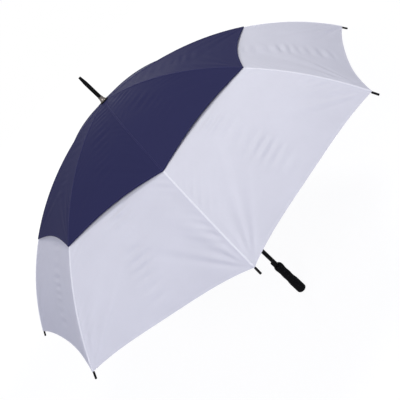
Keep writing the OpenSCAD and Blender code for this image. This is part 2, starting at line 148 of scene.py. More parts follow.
class UmbrellaCanopy(bpy.types.PropertyGroup):
    """Sizes of the two cloths and of their sewing."""

    open_radius: bpy.props.FloatProperty(
        name="Open radius", description="From the shaft's axis to a corner of the lower cloth",
        default=0.65, unit="LENGTH",
    )
    bend_radius: bpy.props.FloatProperty(
        name="Bend radius", description="Radius of the curve along a rib", default=0.84, unit="LENGTH"
    )
    apex_slope: bpy.props.FloatProperty(
        name="Apex slope", description="Downward slope at the ferrule",
        default=math.radians(2.2), subtype="ANGLE",
    )
    apex_height: bpy.props.FloatProperty(
        name="Apex height", description="Height of the cloth's apex", default=0.88, unit="LENGTH"
    )
    shaft_hole: bpy.props.FloatProperty(
        name="Shaft hole", description="Radius of the hole round the shaft",
        default=0.0073, unit="LENGTH",
    )
    upper_length: bpy.props.FloatProperty(
        name="Upper length", description="Length of the upper cloth along a rib",
        default=0.458, unit="LENGTH",
    )
    vent_length: bpy.props.FloatProperty(
        name="Vent length", description="Distance along a rib to the vent in the lower cloth",
        default=0.33, unit="LENGTH",
    )
    upper_scallop: bpy.props.FloatProperty(
        name="Upper scallop", description="Depth of the curve in the upper hem",
        default=0.019, unit="LENGTH",
    )
    lower_scallop: bpy.props.FloatProperty(
        name="Lower scallop", description="Depth of the curve in the lower hem",
        default=0.014, unit="LENGTH",
    )
    upper_sag: bpy.props.FloatProperty(
        name="Upper sag", description="Inward sag of the upper cloth at its hem",
        default=0.003, unit="LENGTH",
    )
    lower_sag: bpy.props.FloatProperty(
        name="Lower sag", description="Inward sag of the lower cloth at its hem",
        default=0.018, unit="LENGTH",
    )
    upper_depth: bpy.props.FloatProperty(
        name="Upper depth", description="Depth of the upper cloth's middle under the rib's outer curve",
        default=0.0004, unit="LENGTH",
    )
    lower_depth: bpy.props.FloatProperty(
        name="Lower depth", description="Depth of the lower cloth's middle under the rib's outer curve",
        default=0.0022, unit="LENGTH",
    )
    thickness: bpy.props.FloatProperty(
        name="Thickness", description="Thickness of the cloth", default=0.0005, unit="LENGTH"
    )
    hem_width: bpy.props.FloatProperty(
        name="Hem width", description="Width of the folded hem", default=0.0065, unit="LENGTH"
    )
    seam_width: bpy.props.FloatProperty(
        name="Seam width", description="Width of the felled seam over a rib",
        default=0.0048, unit="LENGTH",
    )
    wrinkle: bpy.props.FloatProperty(
        name="Wrinkles", description="Share of the full height of the wrinkles",
        default=1.0, min=0.0, max=2.0,
    )
    stitch_pitch: bpy.props.FloatProperty(
        name="Stitch pitch", description="Distance from stitch to stitch", default=0.0038, unit="LENGTH"
    )
    stitch_length: bpy.props.FloatProperty(
        name="Stitch length", description="Length of one stitch", default=0.0029, unit="LENGTH"
    )
    stitch_width: bpy.props.FloatProperty(
        name="Stitch width", description="Thickness of the thread", default=0.0006, unit="LENGTH"
    )


class UmbrellaFinish(bpy.types.PropertyGroup):
    """Colours of the finishes."""

    white_cloth: bpy.props.FloatVectorProperty(
        name="White cloth", description="Colour of the lower cloth",
        default=(0.68, 0.685, 0.75), subtype="COLOR",
    )
    white_seam: bpy.props.FloatVectorProperty(
        name="White seam", description="Colour of the doubled white cloth in seams",
        default=(0.82, 0.825, 0.88), subtype="COLOR",
    )
    navy_cloth: bpy.props.FloatVectorProperty(
        name="Navy cloth", description="Colour of the upper cloth",
        default=(0.028, 0.029, 0.083), subtype="COLOR",
    )
    black: bpy.props.FloatVectorProperty(
        name="Black", description="Colour of the black paint and plastic",
        default=(0.004, 0.004, 0.0044), subtype="COLOR",
    )
    bright_metal: bpy.props.FloatVectorProperty(
        name="Bright metal", description="Colour of the flared base",
        default=(0.15, 0.135, 0.128), subtype="COLOR",
    )
    steel: bpy.props.FloatVectorProperty(
        name="Steel", description="Colour of pins and spring",
        default=(0.56, 0.56, 0.58), subtype="COLOR",
    )


class UmbrellaStage(bpy.types.PropertyGroup):
    """Where the camera stands and how the scene is lit."""

    turn: bpy.props.FloatProperty(
        name="Turn", description="Camera's turn about the shaft",
        default=math.radians(3.66), subtype="ANGLE",
    )
    height: bpy.props.FloatProperty(
        name="Height", description="Camera's angle above the horizon",
        default=math.radians(21.16), subtype="ANGLE",
    )
    roll: bpy.props.FloatProperty(
        name="Roll", description="Camera's roll", default=math.radians(-46.73), subtype="ANGLE"
    )
    distance: bpy.props.FloatProperty(
        name="Distance", description="Camera's distance from the apex along its view",
        default=1.6563, unit="LENGTH",
    )
    across: bpy.props.FloatProperty(
        name="Across", description="Place of the apex across the picture",
        default=-0.26995, unit="LENGTH",
    )
    up: bpy.props.FloatProperty(
        name="Up", description="Place of the apex up the picture", default=0.27879, unit="LENGTH"
    )
    lens: bpy.props.FloatProperty(
        name="Lens", description="Focal length in millimetres", default=52.88
    )
    key: bpy.props.FloatProperty(
        name="Key", description="Power of the key light in watts", default=46.0
    )
    top: bpy.props.FloatProperty(
        name="Top", description="Power of the top light in watts", default=28.0
    )
    back: bpy.props.FloatProperty(
        name="Back", description="Power of the light behind in watts", default=14.0
    )
    fill: bpy.props.FloatVectorProperty(
        name="Fill", description="Light from all round", default=(0.266, 0.272, 0.365), subtype="COLOR"
    )


def canopy():
    return bpy.context.scene.umbrella_canopy


def finish():
    return bpy.context.scene.umbrella_finish


class Wire:
    """A shader socket that takes part in Python arithmetic."""

    def __init__(self, tree, socket):
        self.tree = tree
        self.socket = socket

    def math(self, operation, first, second):
        node = self.tree.nodes.new("ShaderNodeMath")
        node.operation = operation
        for socket, value in zip(node.inputs, (first, second)):
            if isinstance(value, Wire):
                self.tree.links.new(value.socket, socket)
            else:
                socket.default_value = value
        return Wire(self.tree, node.outputs[0])

    def __add__(self, other):
        return self.math("ADD", self, other)

    __radd__ = __add__

    def __mul__(self, other):
        return self.math("MULTIPLY", self, other)

    __rmul__ = __mul__

    def __lt__(self, other):
        return self.math("LESS_THAN", self, other)


class Finish:
    """A material with one principled shader, built node by node."""

    def __init__(self, name, **sockets):
        self.material = bpy.data.materials.new(name)
        self.material.use_nodes = True
        self.tree = self.material.node_tree
        self.shader = self.tree.nodes["Principled BSDF"]
        self.place = self.node("ShaderNodeTexCoord", output="Object")
        for label, value in sockets.items():
            self.feed(label.replace("_", " ").title(), value)

    def node(self, kind, settings=None, output=0, **sockets):
        """Adds a node, sets it, fills its sockets and gives back one output."""
        node = self.tree.nodes.new(kind)
        for label, value in (settings or {}).items():
            setattr(node, label, value)
        for label, value in sockets.items():
            self.fill(node.inputs[label.replace("_", " ").title()], value)
        return Wire(self.tree, node.outputs[output])

    def fill(self, socket, value):
        if isinstance(value, Wire):
            self.tree.links.new(value.socket, socket)
        else:
            socket.default_value = value

    def feed(self, label, value):
        label = label.replace("Ior", "IOR")
        if "Color" in label and not isinstance(value, Wire):
            value = (*value, 1.0)
        self.fill(self.shader.inputs[label], value)

    def uv(self, name):
        return self.node("ShaderNodeUVMap", {"uv_map": name})

    def attribute(self, name):
        return self.node("ShaderNodeAttribute", {"attribute_name": name}, output="Fac")

    def noise(self, scale, detail=2.0, roughness=0.5, at=None):
        place = at or self.place
        return self.node("ShaderNodeTexNoise", vector=place, scale=scale, detail=detail, roughness=roughness)

    def threads(self, direction, at):
        """The yarns of a weave that run one way."""
        settings = {"bands_direction": direction}
        return self.node("ShaderNodeTexWave", settings, "Fac", vector=at, scale=420.0, distortion=0.4)

    def stretched(self, scale, at=None):
        return self.node("ShaderNodeMapping", vector=at or self.place, scale=scale)

    def mix(self, share, first, second):
        node = self.tree.nodes.new("ShaderNodeMix")
        node.data_type = "RGBA"
        node.clamp_factor = True
        self.fill(node.inputs["Factor"], share)
        self.fill(node.inputs[6], first if isinstance(first, Wire) else (*first, 1.0))
        self.fill(node.inputs[7], second if isinstance(second, Wire) else (*second, 1.0))
        return Wire(self.tree, node.outputs[2])

    def bump(self, height, strength, distance):
        node = self.node("ShaderNodeBump", height=height, strength=strength, distance=distance)
        self.feed("Normal", node)


def shade(colour, share):
    """A colour made lighter or darker by a share."""
    return tuple(min(1.0, c * share) for c in colour)


def cloth_finish(name, colour, hem_colour, gloss):
    """Tightly woven coated cloth, with a doubled hem."""
    made = Finish(name, specular_ior_level=gloss)
    weave_place = made.uv("cloth")
    cloud = made.noise(9.0, detail=3.0, at=weave_place)
    slub = made.noise(900.0, detail=1.0, at=made.stretched((1.0, 0.06, 1.0), weave_place))
    hem = made.attribute("hem_gap") < canopy().hem_width
    tone = made.mix(cloud * 0.75 + slub * 0.25, shade(colour, 0.93), shade(colour, 1.07))
    made.feed("Base Color", made.mix(hem * 0.1, tone, hem_colour))
    warp = made.threads("X", weave_place)
    weft = made.threads("Y", weave_place)
    made.feed("Roughness", 0.56 + 0.12 * cloud)
    made.bump(warp * weft + slub * 0.5, 0.12, 0.0002)
    return made.material


def thread_finish(name, colour):
    """Twisted sewing thread."""
    made = Finish(name, roughness=0.6, specular_ior_level=0.1)
    twist = made.noise(1800.0, detail=1.0)
    made.feed("Base Color", made.mix(twist, shade(colour, 0.85), shade(colour, 1.1)))
    made.bump(twist, 0.3, 0.0001)
    return made.material


def seam_finish(name, colour, gloss):
    """Doubled cloth of a felled seam, puckered along its stitches, with painted shade in the puckers' hollows
    and painted light on their crests.
    """
    made = Finish(name, roughness=0.6, specular_ior_level=gloss)
    pucker = made.noise(260.0, detail=2.0, at=made.uv("cloth"))
    # Painted shade and light: the colour follows the pucker bump, darker in its hollows and lighter on its
    # crests.
    made.feed("Base Color", made.mix(pucker, shade(colour, 0.94), shade(colour, 1.05)))
    made.bump(pucker, 0.25, 0.0004)
    return made.material


def paint_finish(name, colour):
    """Black stoved paint on steel, a little uneven."""
    made = Finish(name, specular_ior_level=0.05)
    peel = made.noise(420.0, detail=2.0)
    wear = made.noise(38.0, detail=4.0, roughness=0.65)
    made.feed("Base Color", made.mix(wear, shade(colour, 0.8), shade(colour, 1.6)))
    made.feed("Roughness", 0.3 + 0.16 * wear)
    made.bump(peel, 0.08, 0.0002)
    return made.material


def gloss_finish(name, colour):
    """Polished black plastic with faint handling marks."""
    made = Finish(name, specular_ior_level=0.06)
    rub = made.noise(90.0, detail=4.0, at=made.stretched((1.0, 1.0, 0.2)))
    made.feed("Base Color", made.mix(rub, shade(colour, 0.7), shade(colour, 1.3)))
    made.feed("Roughness", 0.1 + 0.1 * rub)
    made.bump(rub, 0.03, 0.0002)
    return made.material


def plastic_finish(name, colour):
    """Moulded black plastic with a fine spark-eroded grain."""
    made = Finish(name, specular_ior_level=0.08)
    grain = made.noise(1500.0, detail=2.0)
    flow = made.noise(60.0, detail=3.0)
    made.feed("Base Color", made.mix(flow, shade(colour, 0.85), shade(colour, 1.5)))
    made.feed("Roughness", 0.4 + 0.14 * flow)
    made.bump(grain, 0.12, 0.0002)
    return made.material


def rubber_finish(name, colour):
    """Soft black grip with a stippled skin that is a little greyer where it is rubbed."""
    made = Finish(name, specular_ior_level=0.06)
    stipple = made.node(
        "ShaderNodeTexVoronoi", {"feature": "SMOOTH_F1"}, "Distance",
        vector=made.place, scale=850.0, smoothness=0.6,
    )
    rub = made.noise(42.0, detail=4.0, roughness=0.6)
    made.feed("Base Color", made.mix(rub, shade(colour, 0.8), shade(colour, 2.0)))
    made.feed("Roughness", 0.66 + 0.16 * rub)
    made.bump(stipple, 0.35, 0.0003)
    return made.material


def rod_finish(name, colour):
    """Drawn black fibre rod, with faint lengthwise streaks."""
    made = Finish(name, specular_ior_level=0.06)
    streak = made.noise(700.0, detail=3.0, at=made.stretched((1.0, 1.0, 0.35)))
    made.feed("Base Color", made.mix(streak, shade(colour, 0.7), shade(colour, 1.7)))
    made.feed("Roughness", 0.28 + 0.16 * streak)
    made.bump(streak, 0.06, 0.0002)
    return made.material


def metal_finish(name, colour, low, high, lengthwise):
    """Bright metal, turned or drawn, with fine tool lines."""
    made = Finish(name, metallic=1.0)
    drawn_out = (1.0, 1.0, 0.1) if lengthwise else (0.15, 0.15, 1.0)
    line = made.noise(600.0, detail=3.0, at=made.stretched(drawn_out))
    tarnish = made.noise(70.0, detail=3.0)
    made.feed("Base Color", made.mix(tarnish, shade(colour, 0.9), shade(colour, 1.08)))
    made.feed("Roughness", low + (high - low) * line)
    made.bump(line, 0.02, 0.0001)
    return made.material


def ramp(value, start, length):
    """0 up to a start, then rising to 1 over a length."""
    return np.clip((value - start) / length, 0, 1)


class Layer:
    """One cloth of the canopy: its shape between two ribs, its cut and its wrinkles."""

    def __init__(self, name):
        c = canopy()
        self.name = name
        self.bend, self.slope, self.apex = c.bend_radius, c.apex_slope, c.apex_height
        self.full = self.length_at(c.open_radius)
        self.over = c.upper_length
        if name == "upper":
            self.slot, self.columns, self.height = "navy_cloth", 32, 0.4 * c.wrinkle
            self.start, self.hem = self.length_at(c.shaft_hole / math.cos(HALF_GORE)), c.upper_length
            self.depth, self.sag, self.scallop, self.power = c.upper_depth, c.upper_sag, c.upper_scallop, 2.0
            self.bands = [(self.start, TOP_CUT, *TOP_FOLD), (TOP_CUT, self.hem, *MAIN_FOLD)]
        else:
            self.slot, self.columns, self.height = "white_cloth", 44, c.wrinkle
            self.start, self.hem = c.vent_length, self.full
            self.depth, self.sag, self.scallop, self.power = c.lower_depth, c.lower_sag, c.lower_scallop, 4.0
            self.bands = [
                (self.start, VENT_CUT, *MAIN_FOLD),
                (VENT_CUT, SKIRT_CUT, *WAIST_FOLD),
                (SKIRT_CUT, self.hem, *SKIRT_FOLD),
            ]
        self.hem_r = self.rib_point(self.hem)[0]
        self.folds = [self.draw_folds(np.random.default_rng(17 + gore)) for gore in range(RIBS)]

    def length_at(self, radius):
        """Length along a rib at which the cloth is that far from the shaft's axis."""
        return self.bend * (math.asin(radius / self.bend + math.sin(self.slope)) - self.slope)

    def rib_point(self, s, depth=None):
        """Distance from the axis and height of the cloth over a rib, or that deep under the rib's curve."""
        angle, bend = self.slope + s / self.bend, self.bend - (self.depth if depth is None else depth)
        r = bend * np.sin(angle) - self.bend * math.sin(self.slope)
        z = self.apex + bend * np.cos(angle) - self.bend * math.cos(self.slope)
        return r, z

    def across(self, s):
        """Half the width of a gore at a length along the rib."""
        return self.rib_point(s)[0] * math.sin(HALF_GORE)

    def hem_at(self, x):
        """Length along a rib's curve at the hem, where x runs from -1 to 1 across a gore."""
        return self.hem - self.scallop * (1 - np.abs(x) ** self.power)

    def draw_folds(self, draw):
        """The sizes of one gore's wrinkles."""
        any_of = draw.uniform
        return {
            "broad": [
                (any_of(0.15, 0.34), any_of(-0.7, 0.7), any_of(2.0, 8.0), any_of(*ANY_PHASE))
                for _ in range(5)
            ],
            "pulls": [
                [
                    (any_of(0.5, 1.2) * (1 if k % 2 else -1), 0.14 + 0.17 * k + any_of(-0.05, 0.05),
                     any_of(0.04, 0.065), any_of(0.08, 0.2))
                    for k in range(5)
                ]
                for _ in range(2)
            ],
            "pucker": [(any_of(*ANY_PHASE), any_of(*ANY_PHASE), any_of(0.026, 0.034)) for _ in range(2)],
            "ripple": (any_of(0.5, 1.0), any_of(-0.012, 0.012), any_of(*ANY_PHASE), any_of(0.026, 0.032)),
        }

    def billows(self, folds, x, s):
        """Broad slack waves that die out at the ribs."""
        inner = np.clip(1 - x * x, 0, 1)
        high = 0
        for size, across, along, phase in folds:
            high = high + size * np.sin(FULL_TURN * (across * x + along * s) + phase) * inner
        return high

    def ripples(self, fold, lateral, s):
        """Short ripples down the middle of a gore."""
        share, lean, phase, pitch = fold
        aside = (lateral - lean) / RIPPLE_REACH
        ends = ramp(s, self.start, 0.06) * ramp(self.hem - s, 0.03, 0.05)
        swell = 0.7 + 0.3 * np.sin(FULL_TURN * s / RIPPLE_SWELL_PITCH + 2 * phase)
        wander = phase + 1.3 * np.sin(FULL_TURN * s / RIPPLE_WANDER_PITCH + phase) + 0.7 * aside
        wave = np.sin(FULL_TURN * s / pitch + wander) * np.exp(-aside * aside)
        return RIPPLE_HEIGHT * share * ends * swell * wave

    def pulls(self, folds, from_rib, s):
        """Folds that fan out from the corner where the hem meets a rib."""
        back = self.hem - s
        reach, turn = np.hypot(from_rib, back), np.arctan2(from_rib, np.maximum(back, 0) + 1e-6)
        high = 0
        for size, angle, wide, fade in folds:
            line = np.exp(-(((turn - angle) * reach / (wide * reach + PULL_NARROWEST)) ** 2))
            high = high + size * line * np.exp(-reach / fade)
        return PULL_HEIGHT * high * np.clip(reach / PULL_START, 0, 1)

    def puckers(self, fold, from_rib, s):
        """Small slanted gathers along the seam over a rib."""
        phase, slow, pitch = fold
        swell = 0.5 + 0.5 * np.sin(FULL_TURN * s / PUCKER_SWELL_PITCH + slow)
        ends = ramp(self.hem - s, 0.02, 0.07) * ramp(s, self.start + 0.03, 0.12)
        wave = np.sin(FULL_TURN * (s + PUCKER_LEAN * from_rib) / pitch + phase)
        return PUCKER_HEIGHT * swell * ends * wave * np.exp(-from_rib / PUCKER_REACH)

    def wrinkle(self, gore, x, s):
        """Height of the wrinkles over the smooth cloth, in metres. They lie flatter under the upper cloth."""
        folds = self.folds[gore % RIBS]
        half = self.across(s)
        high = self.billows(folds["broad"], x, s) + self.ripples(folds["ripple"], x * half, s)
        for side, pulls, pucker in zip((-1, 1), folds["pulls"], folds["pucker"]):
            from_rib = np.clip((1 - side * x) * half, 0, None)
            sewn = self.pulls(pulls, from_rib, s) + self.puckers(pucker, from_rib, s)
            high = high + sewn * ramp(from_rib, RIB_CLEAR, RIB_CLEAR_RAMP)
        under = 1 if self.name == "upper" else np.clip((s - self.over + 0.03) / 0.03, 0.25, 1)
        return MILLIMETRE * self.height * high * under

    def smooth(self, gore, x, s):
        """Points of the smooth cloth in a gore, counted from the rib of the same number."""
        r, z = self.rib_point(s)
        angle = self.slope + s / self.bend
        inward = self.sag * np.clip(r / self.hem_r, 0, None) ** 1.5 * (1 - x * x)
        out = r * math.cos(HALF_GORE) / np.cos(HALF_GORE * np.abs(x)) - inward * np.sin(angle)
        turn = (2 * gore + 1 + x) * HALF_GORE - math.pi / 2
        return np.stack([out * np.cos(turn), out * np.sin(turn), z - inward * np.cos(angle)], axis=-1)

    def slant(self, points, x, s, step):
        """Outward normals of a surface given as a function of x and s."""
        along = points(x, s + step * self.bend) - points(x, s - step * self.bend)
        across = points(x + step, s) - points(x - step, s)
        normal = np.cross(along, across)
        return normal / np.linalg.norm(normal, axis=-1, keepdims=True)

    def smooth_normal(self, gore, x, s):
        return self.slant(lambda a, b: self.smooth(gore, a, b), x, s, SMOOTH_STEP)

    def surface(self, gore, x, s):
        """Points of the wrinkled cloth."""
        return self.smooth(gore, x, s) + self.smooth_normal(gore, x, s) * self.wrinkle(gore, x, s)[..., None]

    def normal(self, gore, x, s):
        return self.slant(lambda a, b: self.surface(gore, a, b), x, s, NORMAL_STEP)


def rib_name(rib):
    return f"rib_{rib % RIBS + 1}"


def new_piece(name, points, faces, finishes):
    mesh = bpy.data.meshes.new(name)
    mesh.from_pydata([tuple(p) for p in points], [], faces)
    for material in finishes:
        mesh.materials.append(material)
    mesh.polygons.foreach_set("use_smooth", [True] * len(mesh.polygons))
    piece = bpy.data.objects.new(name, mesh)
    bpy.context.scene.collection.objects.link(piece)
    return piece


def shell_faces(rows, cols):
    """Faces of a thin closed shell: an outer grid, an inner one behind it, and the rim between them."""
    grid = np.arange(rows * cols).reshape(rows, cols)
    low = rows * cols
    a, b, c, d = grid[:-1, :-1], grid[1:, :-1], grid[1:, 1:], grid[:-1, 1:]
    outer = np.stack([a, b, c, d], -1).reshape(-1, 4)
    inner = np.stack([a, d, c, b], -1).reshape(-1, 4) + low
    loop = np.concatenate([grid[:-1, 0], grid[-1, :-1], grid[:0:-1, -1], grid[0, :0:-1]])
    after = np.roll(loop, -1)
    rim = np.stack([loop, loop + low, after + low, after], -1)
    return np.concatenate([outer, inner, rim]).tolist()


def lay_uv(mesh, flat):
    """Lays the cloth's own flat measures, in metres, on the mesh as a map."""
    layer = mesh.uv_layers.new(name="cloth")
    corner = np.zeros(len(mesh.loops), int)
    mesh.loops.foreach_get("vertex_index", corner)
    layer.data.foreach_set("uv", flat[corner].astype(np.float32).ravel())


def fold_away(piece, layer, band, rib, side):
    """Gives the piece its own mesh; the axis and anchor of its fold in towards its rib as the umbrella closes
    are worked out but not applied.
    """
    hung, tilt, keep, room = band[2:]
    turn = rib * 2 * HALF_GORE - math.pi / 2
    r, z = layer.rib_point(hung, 0.0)
    slope = layer.slope + hung / layer.bend
    out = Vector((math.cos(turn), math.sin(turn), 0))
    sideways = Vector((-math.sin(turn), math.cos(turn), 0)) * side
    inward = -(out * math.sin(slope) + Vector((0, 0, math.cos(slope))))
    axis = (sideways + inward * tilt).normalized()
    anchor = out * float(r) + Vector((0, 0, float(z))) + sideways * room
    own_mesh(piece)


def half_gores():
    """Each rib with the side of it, the gore there and where x starts and ends."""
    for rib in range(RIBS):
        yield rib, 1, rib, -1.0, 0.0
        yield rib, -1, (rib - 1) % RIBS, 0.0, 1.0


def sew_band(layer, number, rib, side, gore, low, high, material):
    """One band of half a gore of cloth, from its rib to the middle of the gore."""
    c = canopy()
    band = layer.bands[number]
    start, end = band[:2]
    from_rib = np.linspace(0, 1, layer.columns) ** COLUMN_CROWDING
    x = low + from_rib if side > 0 else (high - from_rib)[::-1]
    hem = layer.hem_at(x)
    rows = np.linspace(0, 1, 2 + round((end - start) / ROW_PITCH))[:, None]
    if end < layer.hem:
        s = start + (end - start) * rows + 0 * x
    else:
        edge = HEM_ROWS * c.hem_width
        s = np.concatenate([start + (hem - edge[0] - start) * rows[:-1], hem - edge])
    x = np.broadcast_to(x, s.shape)
    gap = np.broadcast_to(hem, s.shape) - s
    points, normals = layer.surface(gore, x, s), layer.normal(gore, x, s)
    fold = np.clip((c.hem_width - gap) / HEM_STEP, 0, 1) * (1 - 0.75 * np.exp(-gap / HEM_ROUND))
    thick = (c.thickness / 2 + HEM_EXTRA * fold)[..., None] * normals
    piece = new_piece(
        f"{layer.name}_cloth_{rib + 1}{'a' if side > 0 else 'b'}{number + 1}",
        np.concatenate([(points + thick).reshape(-1, 3), (points - thick).reshape(-1, 3)]),
        shell_faces(*s.shape),
        [material],
    )
    mesh = piece.data
    flat = np.stack([x * layer.across(s), s], -1).reshape(-1, 2)
    lay_uv(mesh, np.concatenate([flat, flat]))
    hem_gap = mesh.attributes.new("hem_gap", "FLOAT", "POINT")
    hem_gap.data.foreach_set("value", np.tile(gap.ravel(), 2).astype(np.float32))
    facing = normals.reshape(-1, 3)
    mesh.normals_split_custom_set_from_vertices(np.concatenate([facing, -facing]).tolist())
    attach(piece, rib_name(rib))
    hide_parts(f"{layer.name}_canopy_{rib + 1}")
    fold_away(piece, layer, band, rib, side)
    cell = np.cross(points[1:, :-1] - points[:-1, :-1], points[:-1, 1:] - points[:-1, :-1])
    wide = float(np.abs(x * layer.across(s)).max())
    float(end - start)


def sew_layer(name, material):
    layer = Layer(name)
    for rib, side, gore, low, high in half_gores():
        for number in range(len(layer.bands)):
            sew_band(layer, number, rib, side, gore, low, high, material)


def seam_strip(layer, rib, start, end, material):
    """The felled seam that runs over a rib."""
    width = canopy().seam_width
    lateral = SEAM_ACROSS * width
    s = np.linspace(start, end, SEAM_ROWS)[:, None] + 0 * lateral
    reach = np.abs(lateral) / layer.across(s)
    after, before = (rib, reach - 1, s), (rib - 1, 1 - reach, s)
    right = (lateral > 0)[None, :, None]
    points = np.where(right, layer.smooth(*after), layer.smooth(*before))
    normals = np.where(right, layer.smooth_normal(*after), layer.smooth_normal(*before))
    off_middle = np.abs(lateral) > 0.1 * width
    pucker = 1 + 0.12 * np.sin(FULL_TURN * s / SEAM_PUCKER_PITCH + 3 * np.sign(lateral)) * off_middle
    top = points + normals * (SEAM_LIFT * pucker)[..., None]
    under = points - normals * SEAM_UNDER
    piece = new_piece(
        f"{layer.name}_seam_{rib + 1}",
        np.concatenate([top.reshape(-1, 3), under.reshape(-1, 3)]),
        shell_faces(*s.shape),
        [material],
    )
    flat = np.stack([lateral + 0 * s, s], -1).reshape(-1, 2)
    lay_uv(piece.data, np.concatenate([flat, flat]))
    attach(piece, rib_name(rib))


class Nodes:
    """A geometry node tree with named inputs, built node by node."""

    def __init__(self, name, **inputs):
        self.tree = bpy.data.node_groups.new(name, "GeometryNodeTree")
        face = self.tree.interface
        face.new_socket("Geometry", in_out="INPUT", socket_type="NodeSocketGeometry")
        self.ids = {
            label: face.new_socket(label, in_out="INPUT", socket_type=f"NodeSocket{kind}").identifier
            for label, kind in inputs.items()
        }
        face.new_socket("Geometry", in_out="OUTPUT", socket_type="NodeSocketGeometry")
        self.given = self.tree.nodes.new("NodeGroupInput")

    def node(self, kind, settings=None, output=0, **sockets):
        node = self.tree.nodes.new(kind)
        for label, value in (settings or {}).items():
            setattr(node, label, value)
        for label, value in sockets.items():
            socket = node.inputs[label.replace("_", " ").title().replace("Uv", "UV")]
            if isinstance(value, bpy.types.NodeSocket):
                self.tree.links.new(value, socket)
            else:
                socket.default_value = value
        return node.outputs[output]

    def end(self, geometry, material):
        """Closes the tree with plain mesh and its material."""
        real = self.node("GeometryNodeRealizeInstances", geometry=geometry)
        smooth = self.node("GeometryNodeSetShadeSmooth", geometry=real)
        dressed = self.node("GeometryNodeSetMaterial", geometry=smooth, material=material)
        out = self.tree.nodes.new("NodeGroupOutput")
        self.tree.links.new(dressed, out.inputs["Geometry"])

    def grow(self, name, points, edges, **values):
        """Runs the tree on a path of points and keeps the result as a plain mesh piece."""
        mesh = bpy.data.meshes.new(name + "_path")
        mesh.from_pydata([tuple(p) for p in points], edges, [])
        path = bpy.data.objects.new(name + "_path", mesh)
        bpy.context.scene.collection.objects.link(path)
        modifier = path.modifiers.new("grow", "NODES")
        modifier.node_group = self.tree
        for label, value in values.items():
            modifier[self.ids[label]] = value
        made = path.evaluated_get(bpy.context.evaluated_depsgraph_get())
        grown = bpy.data.meshes.new_from_object(made)
        if not grown.polygons:
            raise RuntimeError(f"{name} came out empty")
        grown.name = name
        path.modifiers.remove(modifier)
        bpy.data.objects.remove(path)
        bpy.data.meshes.remove(mesh)
        piece = bpy.data.objects.new(name, grown)
        bpy.context.scene.collection.objects.link(piece)
        return piece


def stitch_nodes():
    """Stitches set end to end along a path."""
    made = Nodes("Stitch row", Pitch="Float", Length="Float", Width="Float", Thread="Material")
    given = made.given.outputs
    curve = made.node("GeometryNodeMeshToCurve", mesh=given["Geometry"])
    spaced = made.node("GeometryNodeResampleCurve", {"mode": "LENGTH"}, curve=curve, length=given["Pitch"])
    ball = made.node("GeometryNodeMeshUVSphere", segments=6, rings=4, radius=0.5)
    size = made.node("ShaderNodeCombineXYZ", x=given["Length"], y=given["Width"], z=given["Width"])
    stitch = made.node("GeometryNodeTransform", geometry=ball, scale=size)
    along = made.node("GeometryNodeInputTangent")
    turn = made.node("FunctionNodeAlignRotationToVector", {"axis": "X"}, vector=along)
    row = made.node("GeometryNodeInstanceOnPoints", points=spaced, instance=stitch, rotation=turn)
    made.end(row, given["Thread"])
    return made


def spring_nodes():
    """A wire spring wound round the shaft."""
    sizes = dict.fromkeys(("Turns", "Radius", "Height", "Base", "Wire"), "Float")
    made = Nodes("Wound spring", **sizes, Steel="Material")
    given = made.given.outputs
    coil = made.node(
        "GeometryNodeCurveSpiral", resolution=40, rotations=given["Turns"], start_radius=given["Radius"],
        end_radius=given["Radius"], height=given["Height"],
    )
    lift = made.node("ShaderNodeCombineXYZ", z=given["Base"])
    raised = made.node("GeometryNodeTransform", geometry=coil, translation=lift)
    ring = made.node("GeometryNodeCurvePrimitiveCircle", resolution=12, radius=given["Wire"])
    tube = made.node("GeometryNodeCurveToMesh", curve=raised, profile_curve=ring, fill_caps=True)
    made.end(tube, given["Steel"])
    return made


def line_edges(counts):
    """Edges of several open lines whose points follow each other."""
    edges, first = [], 0
    for count in counts:
        edges += [(k, k + 1) for k in range(first, first + count - 1)]
        first += count
    return edges


def stitch(tree, name, lines, material):
    c = canopy()
    return tree.grow(
        name, np.concatenate(lines), line_edges([len(line) for line in lines]),
        Pitch=c.stitch_pitch, Length=c.stitch_length, Width=c.stitch_width, Thread=material,
    )


def dress(material, *nodes):
    """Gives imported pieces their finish."""
    for name in nodes:
        mesh = frame["nodes"][name].data
        mesh.materials.clear()
        mesh.materials.append(material)


def numbered(*names):
    return [f"{name}_{rib + 1}" for name in names for rib in range(RIBS)]


class UMBRELLA_OT_lower_canopy(bpy.types.Operator):
    """Sews the white lower cloth onto the ribs"""

    bl_idname = "umbrella.lower_canopy"
    bl_label = "Lower canopy"

    def execute(self, context):
        f = finish()
        sew_layer("lower", cloth_finish("white_cloth", f.white_cloth, f.white_seam, 0.1))
        return {"FINISHED"}


class UMBRELLA_OT_upper_canopy(bpy.types.Operator):
    """Sews the navy upper cloth over the vent"""

    bl_idname = "umbrella.upper_canopy"
    bl_label = "Upper canopy"

    def execute(self, context):
        f = finish()
        sew_layer("upper", cloth_finish("navy_cloth", f.navy_cloth, shade(f.navy_cloth, 0.9), 0.02))
        return {"FINISHED"}


class UMBRELLA_OT_seams(bpy.types.Operator):
    """Lays the felled seams over the ribs"""

    bl_idname = "umbrella.seams"
    bl_label = "Seams"

    def execute(self, context):
        f = finish()
        white = seam_finish("white_seam", f.white_seam, 0.1)
        navy = seam_finish("navy_seam", f.navy_cloth, 0.03)
        lower, upper = Layer("lower"), Layer("upper")
        for rib in range(RIBS):
            seam_strip(lower, rib, lower.start, lower.hem - SEAM_END_GAP, white)
            seam_strip(upper, rib, SEAM_START, upper.hem - SEAM_END_GAP, navy)
        return {"FINISHED"}


